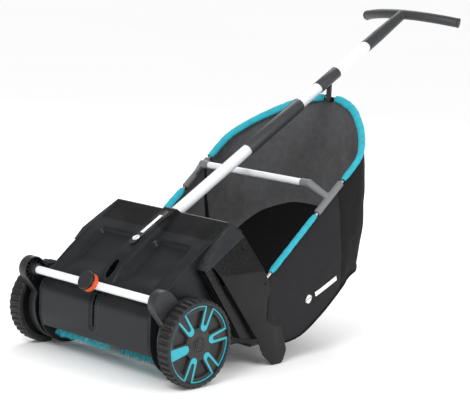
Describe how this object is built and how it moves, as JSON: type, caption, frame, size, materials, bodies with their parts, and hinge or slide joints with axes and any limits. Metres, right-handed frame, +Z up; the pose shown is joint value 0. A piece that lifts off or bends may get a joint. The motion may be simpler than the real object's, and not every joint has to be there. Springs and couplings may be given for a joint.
{
  "type": "lawn sweeper",
  "caption": "Push lawn sweeper: wheel-driven rotary brush in a hooded housing, hung cloth bag on a tubular frame, T-grip handle.",
  "frame": {"origin": "centre of the bounding box on the ground", "axes": "+Z up, the machine runs forward along -Y, +X is its width"},
  "size_m": [0.588, 1.2063, 0.8581],
  "materials": {
    "housing": "satin moulded, near black",
    "frame_plastic": "satin dark grey",
    "panel": "semi-gloss black",
    "badge": "matte grey",
    "white_tube": "silver white anodised",
    "teal_cloth": "teal woven sleeve",
    "bag_cloth": "woven black polyester",
    "tee_grey": "satin grey",
    "tyre_black": "hard tyre",
    "wheel_grey": "satin grey",
    "teal_trim": "teal",
    "knob_orange": "orange knurled",
    "steel": "bright",
    "bristle": "teal nylon",
    "bronze_bush": "sintered"
  },
  "bodies": {
    "chassis": {"hood_shell": "housing", "label_plate": "badge", "throat_ramp": "housing", "handle_socket": "frame_plastic", "lower_tube": "white_tube", "upper_tube": "white_tube", "tube_sleeve": "frame_plastic", "clip_sleeve": "frame_plastic", "handle_grip": "frame_plastic", "grip_caps": "frame_plastic", "bag_hook": "frame_plastic", "rod_sockets": "frame_plastic", "panel_screws": "steel", "right_end_plate": "housing", "left_end_plate": "housing", "right_brush_bush": "bronze_bush", "left_brush_bush": "bronze_bush", "right_shoulder": "housing", "left_shoulder": "housing", "right_panel_column": "panel", "left_panel_column": "panel", "right_side_panel": "panel", "left_side_panel": "panel"},
    "height_frame": {"cross_tube": "white_tube", "clamp_shoe": "frame_plastic", "clamp_bolt": "steel", "stub_axles": "steel", "right_wheel_arm": "frame_plastic", "left_wheel_arm": "frame_plastic"},
    "knob": {"knob_ring": "knob_orange", "knob_cap": "frame_plastic"},
    "right_wheel": {"right_wheel_disc": "wheel_grey", "right_wheel_trim": "teal_trim", "right_tyre": "tyre_black", "right_ring_gear": "wheel_grey", "right_hub_cap": "wheel_grey"},
    "left_wheel": {"left_wheel_disc": "wheel_grey", "left_wheel_trim": "teal_trim", "left_tyre": "tyre_black", "left_ring_gear": "wheel_grey", "left_hub_cap": "wheel_grey"},
    "right_pinion_body": {"right_pinion": "wheel_grey"},
    "left_pinion_body": {"left_pinion": "wheel_grey"},
    "brush": {"brush_shaft": "steel", "brush_core": "frame_plastic", "right_bristles": "bristle", "left_bristles": "bristle", "shaft_clips": "steel"},
    "bag": {"bag_hoop": "steel", "bag_tube": "white_tube", "grass_bag": "bag_cloth", "right_hoop_sleeve": "teal_cloth", "left_hoop_sleeve": "teal_cloth", "right_rod_sleeve": "teal_cloth", "left_rod_sleeve": "teal_cloth", "right_bag_tee": "tee_grey", "left_bag_tee": "tee_grey"}
  },
  "joints": [
    {"name": "height_adjust", "type": "hinge", "parent": "chassis", "child": "height_frame", "pos_m": [0, -0.46454, 0.108], "axis": [1, 0, 0], "range_deg": [0, 38]},
    {"name": "knob_turn", "type": "hinge", "parent": "height_frame", "child": "knob", "pos_m": [0, -0.56334, 0.204], "axis": [0, -0.866, 0.5], "range_deg": [0, 360]},
    {"name": "right_wheel_spin", "type": "hinge", "parent": "height_frame", "child": "right_wheel", "pos_m": [0.275, -0.48634, 0.105], "axis": [1, 0, 0], "continuous": true},
    {"name": "left_wheel_spin", "type": "hinge", "parent": "height_frame", "child": "left_wheel", "pos_m": [-0.275, -0.48634, 0.105], "axis": [1, 0, 0], "continuous": true},
    {"name": "right_pinion_spin", "type": "hinge", "parent": "height_frame", "child": "right_pinion_body", "pos_m": [0.26, -0.46454, 0.108], "axis": [1, 0, 0], "continuous": true},
    {"name": "left_pinion_spin", "type": "hinge", "parent": "height_frame", "child": "left_pinion_body", "pos_m": [-0.26, -0.46454, 0.108], "axis": [1, 0, 0], "continuous": true},
    {"name": "brush_spin", "type": "hinge", "parent": "chassis", "child": "brush", "pos_m": [0, -0.46454, 0.108], "axis": [1, 0, 0], "continuous": true},
    {"name": "bag_slide", "type": "slide", "parent": "chassis", "child": "bag", "axis": [0, 0.7683, 0.6401], "range_m": [0, 0.08]}
  ],
  "couplings": [
    {"joint": "right_pinion_spin", "follows": "right_wheel_spin", "ratio": 3},
    {"joint": "left_pinion_spin", "follows": "left_wheel_spin", "ratio": 3},
    {"joint": "brush_spin", "follows": "right_wheel_spin", "ratio": 3}
  ]
}
